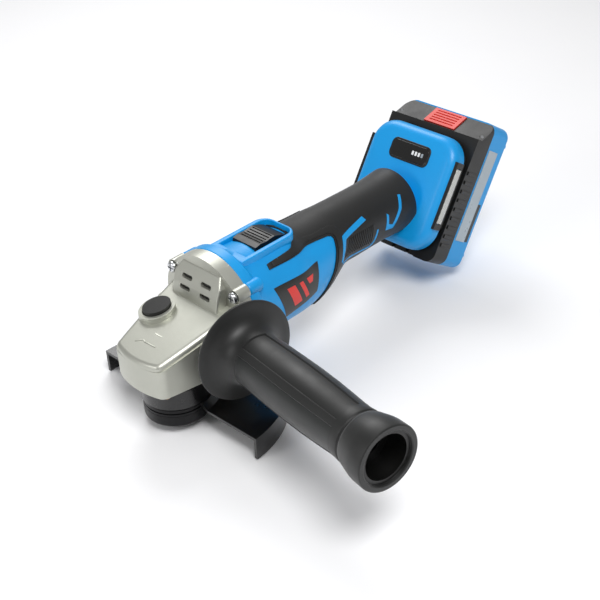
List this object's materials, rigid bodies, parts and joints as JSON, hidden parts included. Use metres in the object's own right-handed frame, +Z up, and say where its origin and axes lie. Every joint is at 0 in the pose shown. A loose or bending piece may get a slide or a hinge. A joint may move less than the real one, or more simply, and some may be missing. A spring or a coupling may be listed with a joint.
{
  "type": "angle grinder",
  "caption": "Cordless angle grinder with die-cast gear head, half guard, screw-in side handle, slide switch and slide-on battery pack.",
  "frame": {"origin": "on the spindle axis at the outer face of the lock nut", "axes": "+Z up along the spindle, +X back along the motor towards the pack, side handle towards -Y"},
  "size_m": [0.312, 0.2393, 0.1038],
  "materials": {
    "cast_aluminium": "satin",
    "blue_plastic": "moulded satin",
    "black_soft_skin": "matt",
    "black_plastic": "moulded satin",
    "red_plastic": "moulded satin",
    "black_painted_steel": "semi-gloss",
    "blackened_steel": "black oxide",
    "bright_steel": "turned",
    "zinc_steel": "zinc plated",
    "yellow_zinc": "yellow zinc",
    "handle_rubber": "matt",
    "copper": "enamelled wire",
    "board": "solder mask",
    "dark_window": "gloss",
    "filter_mesh": "woven",
    "cell_wrap": "shrink wrap",
    "label_film": "printed film"
  },
  "bodies": {
    "tool_body": {"gear_housing": "cast_aluminium", "gear_housing_screws": "zinc_steel", "bearing_box": "cast_aluminium", "bearing_box_screws": "yellow_zinc", "spindle_bearing_lower": "bright_steel", "spindle_bearing_upper": "bright_steel", "bearing_retainer": "bright_steel", "spindle_lock_spring": "bright_steel", "rotor_bearing_front": "bright_steel", "rotor_bearing_rear": "bright_steel", "bearing_plate": "bright_steel", "fan_baffle": "black_plastic", "stator_core": "bright_steel", "stator_windings": "copper", "motor_board": "board", "housing_left": "blue_plastic", "housing_right": "blue_plastic", "overmould_left": "black_soft_skin", "overmould_right": "black_soft_skin", "housing_screws": "zinc_steel", "switch_body": "black_plastic", "control_board": "board", "display_window": "dark_window", "foot_rail": "black_plastic", "terminal_block": "black_plastic", "side_labels": "black_plastic"},
    "spindle": {"spindle": "bright_steel", "spindle_key": "bright_steel", "bevel_gear": "bright_steel", "inner_flange": "blackened_steel"},
    "lock_nut": {"lock_nut": "blackened_steel"},
    "rotor": {"rotor_shaft": "bright_steel", "rotor_core": "bright_steel", "pinion": "bright_steel", "pinion_nut": "bright_steel", "fan": "black_plastic"},
    "lock_button": {"spindle_lock_button": "black_plastic", "spindle_lock_pin": "bright_steel"},
    "guard": {"guard": "black_painted_steel", "guard_collar": "black_painted_steel", "guard_clamp_screw": "blackened_steel", "guard_clamp_nut": "blackened_steel"},
    "side_handle": {"handle_grip": "handle_rubber", "handle_core": "black_plastic", "handle_stud": "bright_steel"},
    "slide_switch": {"switch_slider": "black_plastic", "switch_rod": "black_plastic"},
    "display_button": {"display_button": "dark_window"},
    "filter_left": {"filter_frame_left": "black_plastic", "filter_mesh_left": "filter_mesh"},
    "filter_right": {"filter_frame_right": "black_plastic", "filter_mesh_right": "filter_mesh"},
    "battery_pack": {"pack_upper_shell": "black_plastic", "pack_tray": "blue_plastic", "release_spring": "bright_steel", "pack_screws": "zinc_steel", "cells": "cell_wrap", "cell_holders": "black_plastic", "pack_labels": "label_film"},
    "release_button": {"release_button": "red_plastic"}
  },
  "joints": [
    {"name": "spindle_spin", "type": "hinge", "parent": "tool_body", "child": "spindle", "pos_m": [0, 0, 0.03], "axis": [0, 0, 1], "continuous": true},
    {"name": "rotor_spin", "type": "hinge", "parent": "tool_body", "child": "rotor", "pos_m": [0.07, 0, 0.055], "axis": [1, 0, 0], "continuous": true},
    {"name": "nut_unscrew", "type": "slide", "parent": "spindle", "child": "lock_nut", "axis": [0, 0, -1], "range_m": [0, 0.013]},
    {"name": "lock_button_press", "type": "slide", "parent": "tool_body", "child": "lock_button", "axis": [0, 0, -1], "range_m": [0, 0.0036], "stiffness_N_per_m": 700, "springref_m": -0.002, "deforming": ["spindle_lock_spring"]},
    {"name": "guard_turn", "type": "hinge", "parent": "tool_body", "child": "guard", "pos_m": [0, 0, 0.02], "axis": [0, 0, 1], "range_deg": [-90, 90]},
    {"name": "handle_unscrew", "type": "slide", "parent": "tool_body", "child": "side_handle", "axis": [-0.165, -0.9857, 0.0332], "range_m": [0, 0.018]},
    {"name": "switch_slide", "type": "slide", "parent": "tool_body", "child": "slide_switch", "axis": [-1, 0, 0], "range_m": [0, 0.0075]},
    {"name": "display_button_press", "type": "slide", "parent": "tool_body", "child": "display_button", "axis": [0.8387, 0, -0.5446], "range_m": [0, 0.0008], "stiffness_N_per_m": 900, "springref_m": -0.0006},
    {"name": "filter_left_pull", "type": "slide", "parent": "tool_body", "child": "filter_left", "axis": [0, 1, 0], "range_m": [0, 0.012]},
    {"name": "filter_right_pull", "type": "slide", "parent": "tool_body", "child": "filter_right", "axis": [0, -1, 0], "range_m": [0, 0.012]},
    {"name": "battery_slide", "type": "slide", "parent": "tool_body", "child": "battery_pack", "axis": [0.5446, 0, 0.8387], "range_m": [0, 0.08]},
    {"name": "release_press", "type": "slide", "parent": "battery_pack", "child": "release_button", "axis": [0.2347, 0, -0.9721], "range_m": [0, 0.003], "stiffness_N_per_m": 900, "springref_m": -0.002, "deforming": ["release_spring"]}
  ],
  "couplings": [
    {"joint": "rotor_spin", "follows": "spindle_spin", "ratio": 3.7}
  ]
}
